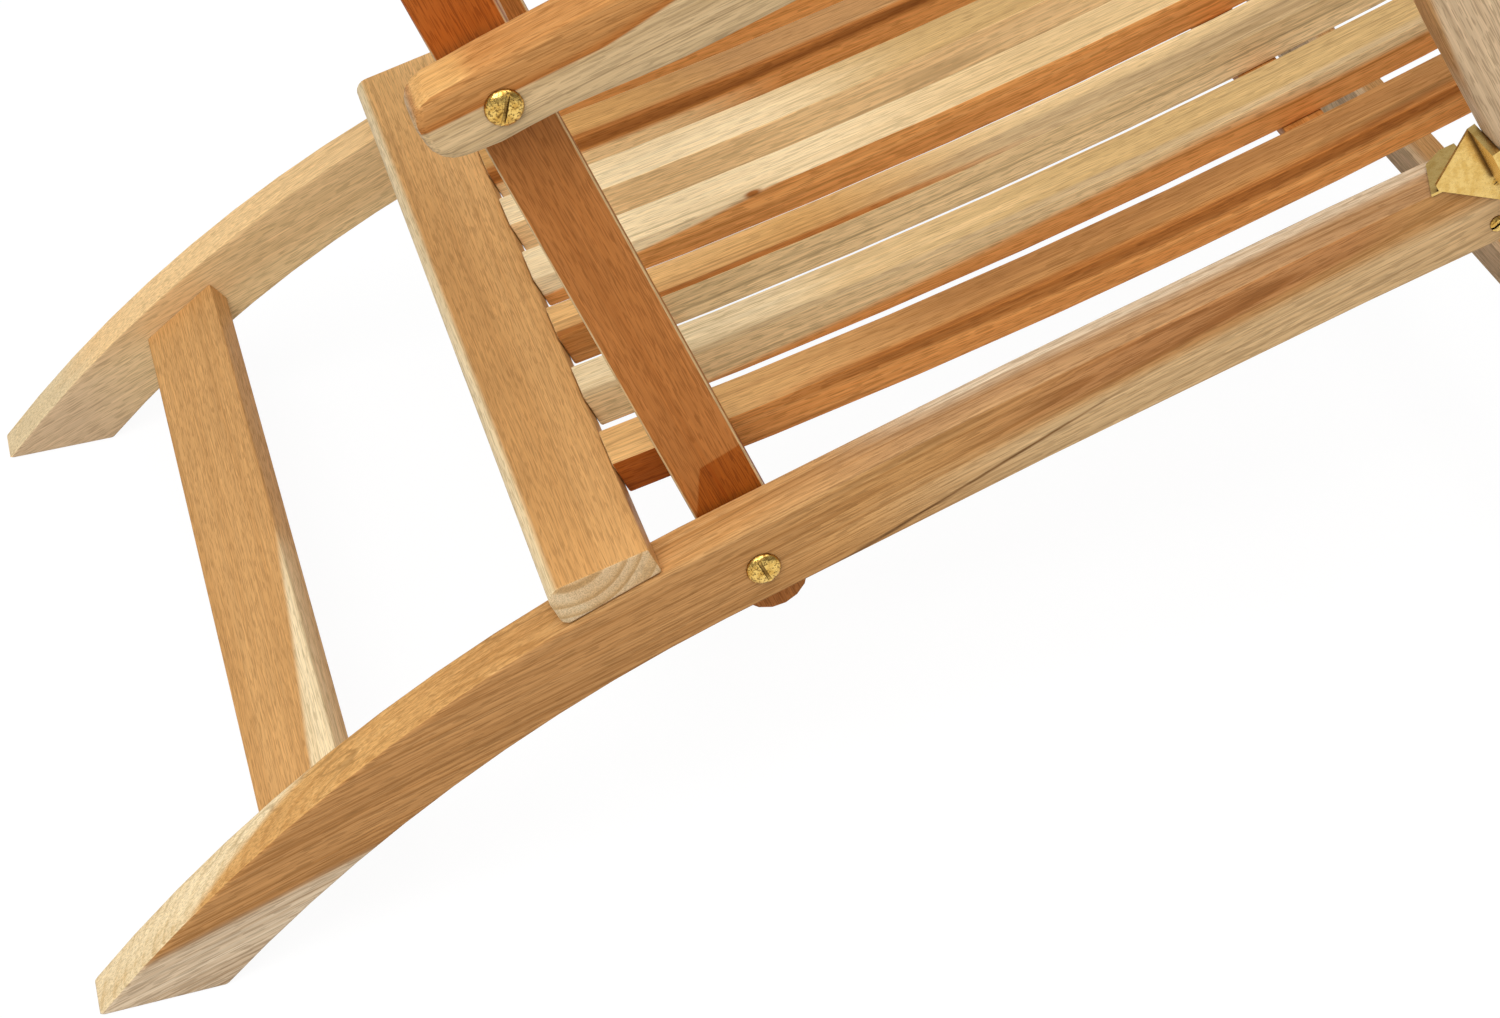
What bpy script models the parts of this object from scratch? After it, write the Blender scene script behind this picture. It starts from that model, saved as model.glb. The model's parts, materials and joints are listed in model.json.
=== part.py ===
# Folding teak deck chair: bowed side rails, a dished slatted seat, and a backrest
# that folds down over the seat with its arms and front legs.
# Metres, +Z up, +X to the front of the chair, +Y to the sitter's left.

import math

import bmesh
import bpy
from mathutils import Matrix, Vector

# Fits
CLEARANCE = 0.0003
LANE_GAP = 0.0022
TENON_LENGTH = 0.013
TENON_SHOULDER = 0.006
TENON_CHEEK = 0.002
EASED_EDGE = 0.0015

# Side rails: a tight rear arc and a long front arc that meet at the join point.
# Stations are lengths along the rail's centre line, forward from the join point.
RAIL_OUTER_WIDTH = 0.540
RAIL_THICKNESS = 0.028
RAIL_DEPTH = 0.046
REAR_RADIUS = 0.801
FRONT_RADIUS = 10.5
JOIN_HEIGHT = 0.1859
JOIN_SLOPE = math.radians(18.64)
RAIL_NOSE_STATION = 0.545
RAIL_ROUND = 0.002

# Pivots on the rail
BACK_PIVOT_STATION = 0.0285
BACK_PIVOT_DROP = 0.003
LEG_PIVOT_STATION = 0.4695

# Rear stretcher, let into the rails near the feet
STRETCHER_STATION = -0.237
STRETCHER_WIDTH = 0.0546
STRETCHER_THICKNESS = 0.016

# Rear cross board on the rail tops
BOARD_STATION = -0.0425
BOARD_WIDTH = 0.0556
BOARD_FRONT_HEIGHT = 0.017
BOARD_REAR_HEIGHT = 0.0235
BOARD_REAR_ROUND = 0.008
BOARD_CHAMFER = 0.003

# Seat slats: arcs between the rails, tongued into the front of the rear cross board.
# The margin is the clear space beside the stiles. The outer two slats are spread a
# little farther out than the pitch.
SLAT_COUNT = 7
SLAT_MARGIN = 0.014812
SLAT_SPREAD = 0.0015
SLAT_WIDTH = 0.0308
SLAT_THICKNESS = 0.0212
SLAT_RADIUS = 3.38
SLAT_SLOPE = math.radians(11.1)
SLAT_RISE = 0.003
SLAT_LENGTH = 0.565
SLAT_ROUND = 0.0012
SLAT_TONGUE = 0.012
SLAT_TONGUE_HEIGHT = 0.008
SLAT_TONGUE_DROP = 0.011

# Pieces under the slats
FRONT_BOARD_STATION = 0.534
FRONT_BOARD_WIDTH = 0.040
FRONT_BOARD_THICKNESS = 0.018
BATTEN_STATION = 0.411
BATTEN_WIDTH = 0.024
BATTEN_THICKNESS = 0.011
BATTEN_INSET = 0.018

# Backrest
BACK_LEAN = math.radians(19.44)
ARM_PIVOT_UP = 0.3012
STILE_THICKNESS = 0.026
STILE_WIDTH = 0.039
STILE_TOP_WIDTH = 0.033
STILE_TAIL = 0.035
STILE_REACH = 0.690
STILE_ROUND = 0.002
BACK_RAIL_THICKNESS = 0.020
BOTTOM_RAIL_UP = 0.165
BOTTOM_RAIL_HEIGHT = 0.045
TOP_RAIL_UP = 0.640
TOP_RAIL_HEIGHT = 0.058
TOP_RAIL_CROWN = 0.016
BACK_SLAT_THICKNESS = 0.012
BACK_SLAT_TENON = 0.010
BACK_SLAT_ROUND = 0.002

# Arms: their span is that of the pivots on the rail
ARM_THICKNESS = RAIL_THICKNESS
ARM_ROUND = 0.004

# Front legs: straight to the bend, then curved up to the arm
LEG_LEAN = math.radians(28.4)
LEG_THICKNESS = 0.026
LEG_WIDTH = 0.044
LEG_FOOT_WIDTH = 0.040
LEG_BEHIND_PIVOT = 0.018
LEG_BEND_UP = 0.135
LEG_ROUND = 0.004
FRONT_STRETCHER_DOWN = 0.2215
FRONT_STRETCHER_WIDTH = 0.024
FRONT_STRETCHER_HEIGHT = 0.021

# Brass stop brackets behind the front legs
BRACKET_PLATE = 0.0015
BRACKET_FLANGE = 0.0045
BRACKET_FLANGE_LOW = 0.024
BRACKET_FLANGE_HIGH = 0.058
BRACKET_FIN = 0.027
BRACKET_FIN_LOW = 0.006
BRACKET_FIN_CORNER = 0.038
BRACKET_FIN_BLUNT = 0.002
BRACKET_SADDLE = 0.0275
BRACKET_SADDLE_POINT = 0.019
BRACKET_SADDLE_SKEW = 0.006

# Brass pivot bolts
BOLT_RADIUS = 0.004
BOLT_HEAD_RADIUS = 0.009
BOLT_HEAD_HEIGHT = 0.004
BOLT_HEAD_EDGE = 0.001
BOLT_THREAD = 0.005
HOLE_CLEARANCE = 0.0004
SLOT_WIDTH = 0.002
SLOT_DEPTH = 0.0014
NUT_RADIUS = 0.0085
NUT_HEIGHT = 0.0075
NUT_EDGE = 0.0035
WASHER_RADIUS = 0.0095
TURN_STEPS = 18

# Lanes across the chair, as distances from its centre plane
RAIL_OUT = RAIL_OUTER_WIDTH / 2
RAIL_IN = RAIL_OUT - RAIL_THICKNESS
RAIL_MID = RAIL_OUT - RAIL_THICKNESS / 2
STILE_OUT = RAIL_IN - LANE_GAP
STILE_IN = STILE_OUT - STILE_THICKNESS
STILE_MID = STILE_OUT - STILE_THICKNESS / 2
ARM_MID = STILE_OUT + LANE_GAP + ARM_THICKNESS / 2
ARM_OUT = STILE_OUT + LANE_GAP + ARM_THICKNESS
ARM_IN = ARM_OUT - ARM_THICKNESS
LEG_IN = RAIL_OUT + LANE_GAP
LEG_OUT = LEG_IN + LEG_THICKNESS
LEG_MID = LEG_IN + LEG_THICKNESS / 2
SLAT_SPAN = 2 * (STILE_IN - SLAT_MARGIN)
SLAT_PITCH = (SLAT_SPAN - 2 * SLAT_SPREAD - SLAT_WIDTH) / (SLAT_COUNT - 1)
SIDES = (("left", 1), ("right", -1))


def rail_slope(station):
    radius = REAR_RADIUS if station < 0 else FRONT_RADIUS
    return JOIN_SLOPE - station / radius


def rail_point(station, offset=0.0):
    radius = REAR_RADIUS if station < 0 else FRONT_RADIUS
    slope = rail_slope(station)
    x = radius * (math.sin(JOIN_SLOPE) - math.sin(slope))
    z = JOIN_HEIGHT + radius * (math.cos(slope) - math.cos(JOIN_SLOPE))
    return Vector((x - offset * math.sin(slope), z + offset * math.cos(slope)))


def floor_station(offset):
    drop = REAR_RADIUS * math.cos(JOIN_SLOPE) - JOIN_HEIGHT
    slope = math.acos(drop / (REAR_RADIUS + offset))
    return (JOIN_SLOPE - slope) * REAR_RADIUS


def tilted(origin, angle, along, across):
    turn = Vector((math.cos(angle), math.sin(angle)))
    side = Vector((-math.sin(angle), math.cos(angle)))
    return origin + along * turn + across * side


def steps(first, last, count):
    return [first + (last - first) * i / count for i in range(count + 1)]


def arc(centre, radius, first, last, count):
    points = []
    for angle in steps(first, last, count):
        points.append((centre[0] + radius * math.cos(angle), centre[1] + radius * math.sin(angle)))
    return points


# Points of the folding linkage, a parallelogram
BACK_PIVOT = rail_point(BACK_PIVOT_STATION, -BACK_PIVOT_DROP)
LEG_PIVOT = rail_point(LEG_PIVOT_STATION)
ARM_SPAN = (LEG_PIVOT - BACK_PIVOT).length
ARM_SLOPE = math.atan2(LEG_PIVOT.y - BACK_PIVOT.y, LEG_PIVOT.x - BACK_PIVOT.x)
LEG_TOP_ACROSS = ARM_PIVOT_UP * math.sin(LEG_LEAN - BACK_LEAN)
LEG_TOP_UP = ARM_PIVOT_UP * math.cos(LEG_LEAN - BACK_LEAN)
ARM_BOLT = (0.0, ARM_PIVOT_UP)
FRONT_BOLT = (LEG_TOP_ACROSS, LEG_TOP_UP)

# Leg outline sizes, measured from the leg pivot along and across the leg
LEG_MIDLINE = LEG_WIDTH / 2 - LEG_BEHIND_PIVOT
LEG_BEND = 2 * math.atan2(LEG_TOP_ACROSS - LEG_MIDLINE, LEG_TOP_UP - LEG_BEND_UP)
LEG_BEND_RADIUS = (LEG_TOP_UP - LEG_BEND_UP) / math.sin(LEG_BEND)
LEG_FOOT_FRONT = LEG_FOOT_WIDTH - LEG_BEHIND_PIVOT


def foot_drop(across):
    return -(LEG_PIVOT.y + across * math.sin(LEG_LEAN)) / math.cos(LEG_LEAN)


# The chair is centred between the tips of its feet.
FRONT_TIP = tilted(LEG_PIVOT, LEG_LEAN, LEG_FOOT_FRONT, foot_drop(LEG_FOOT_FRONT)).x
REAR_TIP = rail_point(floor_station(RAIL_DEPTH / 2), RAIL_DEPTH / 2).x
CENTRE_X = (FRONT_TIP + REAR_TIP) / 2

for item in list(bpy.data.objects):
    bpy.data.objects.remove(item, do_unlink=True)

chair = bpy.data.collections.new("deck_chair")
cutters = bpy.data.collections.new("cutters")
bpy.context.scene.collection.children.link(chair)
bpy.context.scene.collection.children.link(cutters)


def make_material(name, colour, roughness, metallic):
    material = bpy.data.materials.new(name)
    material.use_nodes = True
    shader = material.node_tree.nodes["Principled BSDF"]
    shader.inputs["Base Color"].default_value = (*colour, 1.0)
    shader.inputs["Roughness"].default_value = roughness
    shader.inputs["Metallic"].default_value = metallic
    material.diffuse_color = (*colour, 1.0)
    return material


TEAK_PALE = make_material("teak_pale", (0.55, 0.37, 0.20), 0.55, 0.0)
TEAK_HONEY = make_material("teak_honey", (0.42, 0.24, 0.11), 0.55, 0.0)
TEAK_DARK = make_material("teak_dark", (0.26, 0.14, 0.07), 0.55, 0.0)
BRASS = make_material("brass", (0.72, 0.52, 0.22), 0.3, 1.0)


def make_pivot(name, point, lean, parent=None):
    pivot = bpy.data.objects.new(name, None)
    pivot.empty_display_size = 0.05
    chair.objects.link(pivot)
    pivot.parent = parent
    pivot.location = (point[0], 0.0, point[1])
    pivot.rotation_euler = (0.0, -lean, 0.0)
    return pivot


SEAT = make_pivot("seat_frame_base", (-CENTRE_X, 0.0), 0.0)
BACK = make_pivot("back_pivot", BACK_PIVOT, BACK_LEAN, SEAT)
ARMS = make_pivot("arm_pivot", (0.0, ARM_PIVOT_UP), ARM_SLOPE - BACK_LEAN, BACK)
LEGS = make_pivot("leg_pivot", LEG_PIVOT, LEG_LEAN, SEAT)


def side_frame(y):
    # Drawings in the side view: across the page is X, up the page is Z.
    return Matrix(((1, 0, 0, 0), (0, 0, -1, y), (0, 1, 0, 0), (0, 0, 0, 1)))


def cross_frame(point, slope):
    # Drawings of pieces that run across the chair: X of the page is the chair's Y.
    c = math.cos(slope)
    s = math.sin(slope)
    return Matrix(((0, c, s, point[0]), (1, 0, 0, 0), (0, s, -c, point[1]), (0, 0, 0, 1)))


def add_object(name, mesh, frame, parent, material):
    piece = bpy.data.objects.new(name, mesh)
    if material is None:
        cutters.objects.link(piece)
        piece.hide_render = True
        piece.display_type = "WIRE"
    else:
        chair.objects.link(piece)
        mesh.materials.append(material)
    piece.parent = parent
    piece.matrix_local = frame
    return piece


def add_bevel(piece, width):
    bevel = piece.modifiers.new("rounded edges", "BEVEL")
    bevel.width = width
    bevel.segments = 2
    bevel.limit_method = "ANGLE"
    bevel.angle_limit = math.radians(40)


def plank(name, outline, thickness, frame, parent, material, rounding=0.0, smooth=False):
    # A flat board: a closed outline, filled and given a thickness.
    drawing = bpy.data.curves.new(name, "CURVE")
    drawing.dimensions = "2D"
    drawing.fill_mode = "BOTH"
    drawing.extrude = thickness / 2
    drawing.resolution_u = 3
    spline = drawing.splines.new("BEZIER" if smooth else "POLY")
    spline.use_cyclic_u = True
    if smooth:
        spline.bezier_points.add(len(outline) - 1)
        for knot, (x, y) in zip(spline.bezier_points, outline):
            knot.co = (x, y, 0.0)
            knot.handle_left_type = "AUTO"
            knot.handle_right_type = "AUTO"
    else:
        spline.points.add(len(outline) - 1)
        for knot, (x, y) in zip(spline.points, outline):
            knot.co = (x, y, 0.0, 1.0)
    sketch = bpy.data.objects.new(name + "_sketch", drawing)
    mesh = bpy.data.meshes.new_from_object(sketch)
    bpy.data.objects.remove(sketch)
    bpy.data.curves.remove(drawing)
    work = bmesh.new()
    work.from_mesh(mesh)
    bmesh.ops.remove_doubles(work, verts=work.verts, dist=0.00001)
    bmesh.ops.dissolve_limit(work, angle_limit=0.001, verts=work.verts, edges=work.edges)
    bmesh.ops.recalc_face_normals(work, faces=work.faces)
    work.to_mesh(mesh)
    work.free()
    mesh.name = name
    piece = add_object(name, mesh, frame, parent, material)
    if rounding:
        add_bevel(piece, rounding)
    return piece


def bars(name, boxes, frame, parent, material, rounding=0.0):
    # Square bars, each given by its centre and its size along the page.
    mesh = bpy.data.meshes.new(name)
    work = bmesh.new()
    for centre, size in boxes:
        made = bmesh.ops.create_cube(work, size=1.0)
        bmesh.ops.scale(work, vec=size, verts=made["verts"])
        bmesh.ops.translate(work, vec=centre, verts=made["verts"])
    work.to_mesh(mesh)
    work.free()
    piece = add_object(name, mesh, frame, parent, material)
    if rounding:
        add_bevel(piece, rounding)
    return piece


def cut(piece, cutter, operation="DIFFERENCE"):
    change = piece.modifiers.new(cutter.name, "BOOLEAN")
    change.operation = operation
    change.solver = "EXACT"
    change.use_self = True
    change.object = cutter


def bolt_frame(point, y, out, spin=0.0):
    # The frame of a turned piece on an axis across the chair, its top facing out.
    face = Matrix.Rotation(-out * math.pi / 2, 4, "X") @ Matrix.Rotation(spin, 4, "Z")
    return Matrix.Translation((point[0], y, point[1])) @ face


def turned(name, profile, closed, frame, parent):
    mesh = bpy.data.meshes.new(name)
    edges = [(i, i + 1) for i in range(len(profile) - 1)]
    if closed:
        edges.append((len(profile) - 1, 0))
    mesh.from_pydata([(r, 0.0, z) for r, z in profile], edges, [])
    piece = add_object(name, mesh, frame, parent, BRASS)
    turn = piece.modifiers.new("turned", "SCREW")
    turn.steps = TURN_STEPS
    turn.render_steps = TURN_STEPS
    turn.use_merge_vertices = True
    turn.merge_threshold = 0.00001
    turn.use_smooth_shade = True
    return piece


def hole_cutter(name, point, parent):
    mesh = bpy.data.meshes.new(name)
    work = bmesh.new()
    radius = BOLT_RADIUS + HOLE_CLEARANCE
    bmesh.ops.create_cone(work, cap_ends=True, segments=TURN_STEPS, radius1=radius,
                          radius2=radius, depth=3 * RAIL_OUTER_WIDTH)
    work.to_mesh(mesh)
    work.free()
    place = Matrix.Translation((point[0], 0.0, point[1]))
    return add_object(name, mesh, place @ Matrix.Rotation(math.pi / 2, 4, "X"), parent, None)


def tenon_box(name, half, height, thickness, frame, parent, gap):
    # The bar that forms a tenon at both ends of a cross piece, or cuts its mortises.
    size = (2 * (half + TENON_LENGTH + gap), height - 2 * TENON_SHOULDER + 2 * gap,
            thickness - 2 * TENON_CHEEK + 2 * gap)
    return bars(name, [((0, 0, 0), size)], frame, parent, None)


def tenoned(name, half, height, thickness, frame, parent, material, over=()):
    # A cross piece with a shouldered tenon at each end. Half is to the tenons' shoulders.
    # Over holds further points of its upper edge.
    outline = [(-half, -height / 2), (half, -height / 2), (half, height / 2)]
    outline += list(over) + [(-half, height / 2)]
    piece = plank(name, outline, thickness, frame, parent, material, EASED_EDGE)
    tenon = tenon_box(name + "_tenon", half, height, thickness, frame, parent, 0.0)
    cut(piece, tenon, "UNION")
    return piece


# Side rails

def rail_outline():
    half = RAIL_DEPTH / 2
    outline = []
    for station in steps(floor_station(-half), 0.0, 10) + steps(0.0, RAIL_NOSE_STATION, 3)[1:]:
        outline.append(rail_point(station, -half))
    nose = rail_point(RAIL_NOSE_STATION)
    slope = rail_slope(RAIL_NOSE_STATION)
    outline += arc(nose, half, slope - math.pi / 2, slope + math.pi / 2, 8)[1:-1]
    for station in steps(RAIL_NOSE_STATION, 0.0, 3) + steps(0.0, floor_station(half), 11)[1:]:
        outline.append(rail_point(station, half))
    return [tuple(point) for point in outline]


rails = {}
for side, sign in SIDES:
    rails[side] = plank("side_rail_" + side, rail_outline(), RAIL_THICKNESS,
                        side_frame(sign * RAIL_MID), SEAT, TEAK_PALE, RAIL_ROUND)

# Rear stretcher

stretcher_frame = cross_frame(rail_point(STRETCHER_STATION), rail_slope(STRETCHER_STATION))
between_rails = RAIL_IN - CLEARANCE
tenoned("rear_stretcher", between_rails, STRETCHER_WIDTH, STRETCHER_THICKNESS,
        stretcher_frame, SEAT, TEAK_HONEY)
stretcher_mortises = tenon_box("stretcher_mortises", between_rails, STRETCHER_WIDTH,
                               STRETCHER_THICKNESS, stretcher_frame, SEAT, CLEARANCE)

# Rear cross board: a wedge with a rounded back

board_slope = rail_slope(BOARD_STATION)
board_base = rail_point(BOARD_STATION, RAIL_DEPTH / 2 + CLEARANCE)
board_back = -BOARD_WIDTH / 2
board_front = BOARD_WIDTH / 2
board_section = [(board_back + BOARD_CHAMFER, 0.0), (board_front, 0.0)]
board_section.append((board_front, BOARD_FRONT_HEIGHT))
board_round = (board_back + BOARD_REAR_ROUND, BOARD_REAR_HEIGHT - BOARD_REAR_ROUND)
board_section += arc(board_round, BOARD_REAR_ROUND, math.radians(82), math.pi, 5)
board_section.append((board_back, BOARD_CHAMFER))
board_outline = [tuple(tilted(board_base, board_slope, u, v)) for u, v in board_section]
board = plank("rear_cross_board", board_outline, RAIL_OUTER_WIDTH, side_frame(0.0), SEAT,
              TEAK_HONEY, EASED_EDGE)

# Seat slats

SLAT_START = tilted(board_base, board_slope, board_front + CLEARANCE, BOARD_FRONT_HEIGHT + SLAT_RISE)


def slat_slope(station):
    return SLAT_SLOPE + station / SLAT_RADIUS


def slat_point(station, offset=0.0):
    slope = slat_slope(station)
    x = SLAT_START.x + SLAT_RADIUS * (math.sin(slope) - math.sin(SLAT_SLOPE))
    z = SLAT_START.y + SLAT_RADIUS * (math.cos(SLAT_SLOPE) - math.cos(slope))
    return Vector((x - offset * math.sin(slope), z + offset * math.cos(slope)))


slat_places = [(number - (SLAT_COUNT - 1) / 2) * SLAT_PITCH for number in range(SLAT_COUNT)]
slat_places[0] -= SLAT_SPREAD
slat_places[-1] += SLAT_SPREAD

# The rear end of a slat is cut to the lean of the board's front face.
slat_heel = SLAT_THICKNESS * math.tan(board_slope - SLAT_SLOPE)
slat_outline = []
for station in steps(slat_heel, SLAT_LENGTH, 7):
    slat_outline.append(tuple(slat_point(station, -SLAT_THICKNESS)))
for station in steps(SLAT_LENGTH, 0.0, 7):
    slat_outline.append(tuple(slat_point(station)))

tongue_frame = cross_frame(slat_point(0.0, -SLAT_TONGUE_DROP), SLAT_SLOPE)
tongue_size = (SLAT_WIDTH - 2 * TENON_SHOULDER, 2 * SLAT_TONGUE, SLAT_TONGUE_HEIGHT)
tongue_slots = []
for number, slat_y in enumerate(slat_places):
    slat = plank("seat_slat_" + str(number + 1), slat_outline, SLAT_WIDTH, side_frame(slat_y), SEAT,
                 TEAK_PALE if number % 2 else TEAK_HONEY, SLAT_ROUND)
    tongue = bars("slat_tongue_" + str(number + 1), [((slat_y, 0, 0), tongue_size)],
                  tongue_frame, SEAT, None)
    cut(slat, tongue, "UNION")
    tongue_slots.append(((slat_y, 0, 0), tuple(size + 2 * CLEARANCE for size in tongue_size)))
cut(board, bars("slat_tongue_slots", tongue_slots, tongue_frame, SEAT, None))

# Front cross board, let into the rails, and the seat batten


def under_slats(station, thickness):
    point = slat_point(station, -SLAT_THICKNESS - CLEARANCE - thickness / 2)
    return cross_frame(point, slat_slope(station))


front_board_frame = under_slats(FRONT_BOARD_STATION, FRONT_BOARD_THICKNESS)
tenoned("front_cross_board", between_rails, FRONT_BOARD_WIDTH, FRONT_BOARD_THICKNESS,
        front_board_frame, SEAT, TEAK_HONEY)
front_board_mortises = tenon_box("front_board_mortises", between_rails, FRONT_BOARD_WIDTH,
                                 FRONT_BOARD_THICKNESS, front_board_frame, SEAT, CLEARANCE)
batten_length = SLAT_SPAN - 2 * BATTEN_INSET
bars("seat_batten", [((0, 0, 0), (batten_length, BATTEN_WIDTH, BATTEN_THICKNESS))],
     under_slats(BATTEN_STATION, BATTEN_THICKNESS), SEAT, TEAK_DARK, EASED_EDGE)

# Backrest, drawn from the back pivot with up along the stile

stile_top = STILE_TOP_WIDTH / 2
stile_outline = arc((0.0, -STILE_TAIL), STILE_WIDTH / 2, math.pi, 2 * math.pi, 8)
stile_outline += arc((0.0, STILE_REACH), stile_top, 0.0, math.pi, 8)
stiles = {}
for side, sign in SIDES:
    stiles[side] = plank("back_stile_" + side, stile_outline, STILE_THICKNESS,
                         side_frame(sign * STILE_MID), BACK, TEAK_DARK, STILE_ROUND)

upright = math.pi / 2
bottom_frame = cross_frame((0.0, BOTTOM_RAIL_UP), upright)
top_frame = cross_frame((0.0, TOP_RAIL_UP), upright)
back_half = STILE_IN - CLEARANCE
bottom_rail = tenoned("back_bottom_rail", back_half, BOTTOM_RAIL_HEIGHT, BACK_RAIL_THICKNESS,
                      bottom_frame, BACK, TEAK_HONEY)
top_over = []
for y in steps(back_half, -back_half, 12)[1:-1]:
    top_over.append((y, TOP_RAIL_HEIGHT / 2 + TOP_RAIL_CROWN * (1 - (y / back_half) ** 2)))
top_rail = tenoned("back_top_rail", back_half, TOP_RAIL_HEIGHT, BACK_RAIL_THICKNESS,
                   top_frame, BACK, TEAK_HONEY, top_over)
bottom_mortises = tenon_box("back_bottom_mortises", back_half, BOTTOM_RAIL_HEIGHT,
                            BACK_RAIL_THICKNESS, bottom_frame, BACK, CLEARANCE)
top_mortises = tenon_box("back_top_mortises", back_half, TOP_RAIL_HEIGHT,
                         BACK_RAIL_THICKNESS, top_frame, BACK, CLEARANCE)

slat_low = BOTTOM_RAIL_UP + BOTTOM_RAIL_HEIGHT / 2 - BACK_SLAT_TENON
slat_high = TOP_RAIL_UP - TOP_RAIL_HEIGHT / 2 + BACK_SLAT_TENON
slat_size = (SLAT_WIDTH, slat_high - slat_low, BACK_SLAT_THICKNESS)
slat_frame = cross_frame((0.0, (slat_low + slat_high) / 2), upright)
slat_slots = []
for number, slat_y in enumerate(slat_places):
    bars("back_slat_" + str(number + 1), [((slat_y, 0, 0), slat_size)], slat_frame, BACK,
         TEAK_HONEY if number % 2 else TEAK_PALE, BACK_SLAT_ROUND)
    slat_slots.append(((slat_y, 0, 0), tuple(size + 2 * CLEARANCE for size in slat_size)))
slat_mortises = bars("back_slat_mortises", slat_slots, slat_frame, BACK, None)
cut(bottom_rail, slat_mortises)
cut(top_rail, slat_mortises)

# Arms, drawn from the arm pivot with X towards the front bolt

arm_rear = [(-0.0378, 0.0120), (-0.0385, 0.0030), (-0.0340, -0.0112), (-0.0220, -0.0160)]
arm_under = [(0.02, -0.0160), (0.08, -0.0192), (0.137, -0.0180)]
arm_under += [(0.60 * ARM_SPAN, -0.0168), (0.85 * ARM_SPAN, -0.0195), (ARM_SPAN, -0.0235)]
arm_front = [(ARM_SPAN + 0.027, -0.0150), (ARM_SPAN + 0.037, 0.0030), (ARM_SPAN + 0.027, 0.0200)]
arm_upper = [(ARM_SPAN - 0.010, 0.0270), (0.68 * ARM_SPAN, 0.0285), (0.34 * ARM_SPAN, 0.0275)]
arm_upper += [(0.036, 0.0235), (-0.016, 0.0208), (-0.0320, 0.0185)]
arms = {}
for side, sign in SIDES:
    arms[side] = plank("arm_" + side, arm_rear + arm_under + arm_front + arm_upper, ARM_THICKNESS,
                       side_frame(sign * ARM_MID), ARMS, TEAK_PALE, ARM_ROUND, smooth=True)

# Front legs, drawn from the leg pivot with up along the leg

bend_centre = (LEG_MIDLINE + LEG_BEND_RADIUS, LEG_BEND_UP)
leg_half = LEG_WIDTH / 2
leg_outline = [(-LEG_BEHIND_PIVOT, foot_drop(-LEG_BEHIND_PIVOT))]
leg_outline += [(LEG_FOOT_FRONT, foot_drop(LEG_FOOT_FRONT)), (LEG_MIDLINE + leg_half, 0.0)]
leg_outline += arc(bend_centre, LEG_BEND_RADIUS - leg_half, math.pi, math.pi - LEG_BEND, 7)
leg_outline += arc(FRONT_BOLT, leg_half, -LEG_BEND, math.pi - LEG_BEND, 8)[1:-1]
leg_outline += arc(bend_centre, LEG_BEND_RADIUS + leg_half, math.pi - LEG_BEND, math.pi, 7)
legs = {}
for side, sign in SIDES:
    legs[side] = plank("front_leg_" + side, leg_outline, LEG_THICKNESS,
                       side_frame(sign * LEG_MID), LEGS, TEAK_HONEY, LEG_ROUND)

front_stretcher_frame = cross_frame((0.0, -FRONT_STRETCHER_DOWN), -LEG_LEAN)
front_half = LEG_IN - CLEARANCE
tenoned("front_stretcher", front_half, FRONT_STRETCHER_WIDTH, FRONT_STRETCHER_HEIGHT,
        front_stretcher_frame, LEGS, TEAK_HONEY)
front_mortises = tenon_box("front_stretcher_mortises", front_half, FRONT_STRETCHER_WIDTH,
                           FRONT_STRETCHER_HEIGHT, front_stretcher_frame, LEGS, CLEARANCE)

# Stop brackets: a fin on the rail's outer face, a saddle over the rail and a flange
# behind the leg, joined into one casting

flange_front = -LEG_BEHIND_PIVOT - CLEARANCE
flange_back = flange_front - BRACKET_FLANGE
fin_front = (flange_front + flange_back) / 2
fin_back = flange_back - BRACKET_FIN
fin_points = [(fin_front, BRACKET_FIN_LOW), (fin_front, BRACKET_FLANGE_HIGH)]
fin_points += [(flange_back, BRACKET_FLANGE_HIGH), (fin_back, BRACKET_FIN_CORNER + BRACKET_FIN_BLUNT)]
fin_points += [(fin_back, BRACKET_FIN_CORNER - BRACKET_FIN_BLUNT), (flange_back, BRACKET_FIN_LOW)]
flange_foot = tilted(LEG_PIVOT, LEG_LEAN, flange_back, BRACKET_FLANGE_LOW)
saddle_front = LEG_PIVOT_STATION - (LEG_PIVOT - flange_foot).length
saddle_point = rail_point(saddle_front, RAIL_DEPTH / 2 + CLEARANCE + BRACKET_PLATE / 2)
saddle_frame = cross_frame(saddle_point, rail_slope(saddle_front))
leg_frame = Matrix.Translation((LEG_PIVOT.x, 0.0, LEG_PIVOT.y)) @ Matrix.Rotation(-LEG_LEAN, 4, "Y")
plate_face = RAIL_OUT + CLEARANCE
plate_out = plate_face + BRACKET_PLATE
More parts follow.
